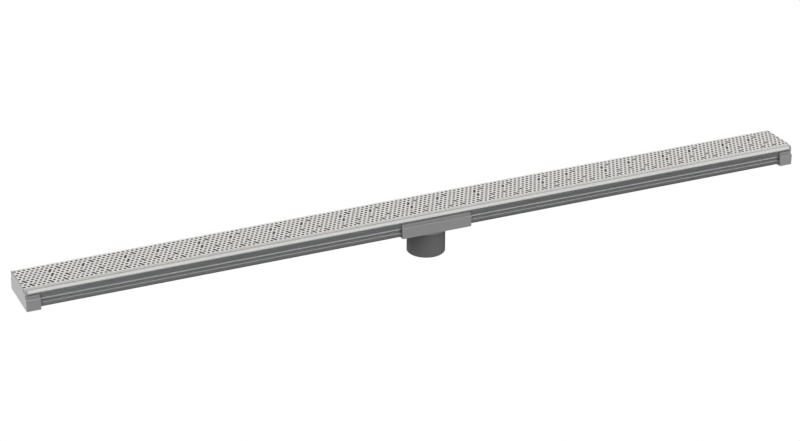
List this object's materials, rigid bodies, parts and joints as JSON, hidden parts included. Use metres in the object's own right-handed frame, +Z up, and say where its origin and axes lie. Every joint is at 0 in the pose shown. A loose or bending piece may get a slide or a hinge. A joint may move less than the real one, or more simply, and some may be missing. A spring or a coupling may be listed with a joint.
{
  "type": "channel drain",
  "caption": "Slim linear floor drain: metal channel with a perforated drop-in strip, moulded end caps and a central outlet saddle with a round spigot.",
  "frame": {"origin": "on the outlet's axis, at the lower end of the outlet pipe; this axis is the middle of the drain's length and width", "axes": "+X along the channel, +Y across it, +Z up through the grate"},
  "size_m": [1.2, 0.076, 0.0739],
  "materials": {
    "channel_aluminium": "satin anodised extrusion",
    "grate_steel": "satin stainless sheet",
    "fitting_plastic": "fine matt moulding, mid grey",
    "pipe_plastic": "smooth extruded pipe, dark grey",
    "seal_rubber": "matt black"
  },
  "bodies": {
    "root": {"channel": "channel_aluminium", "grate": "grate_steel", "grate_stay_1": "grate_steel", "grate_stay_2": "grate_steel", "grate_stay_3": "grate_steel", "grate_stay_4": "grate_steel", "grate_stay_5": "grate_steel", "grate_stay_6": "grate_steel", "end_cap_left": "fitting_plastic", "end_cap_right": "fitting_plastic", "end_seal_left": "seal_rubber", "end_seal_right": "seal_rubber", "outlet_saddle": "fitting_plastic", "outlet_gasket": "seal_rubber", "outlet_pipe": "pipe_plastic"}
  },
  "joints": []
}
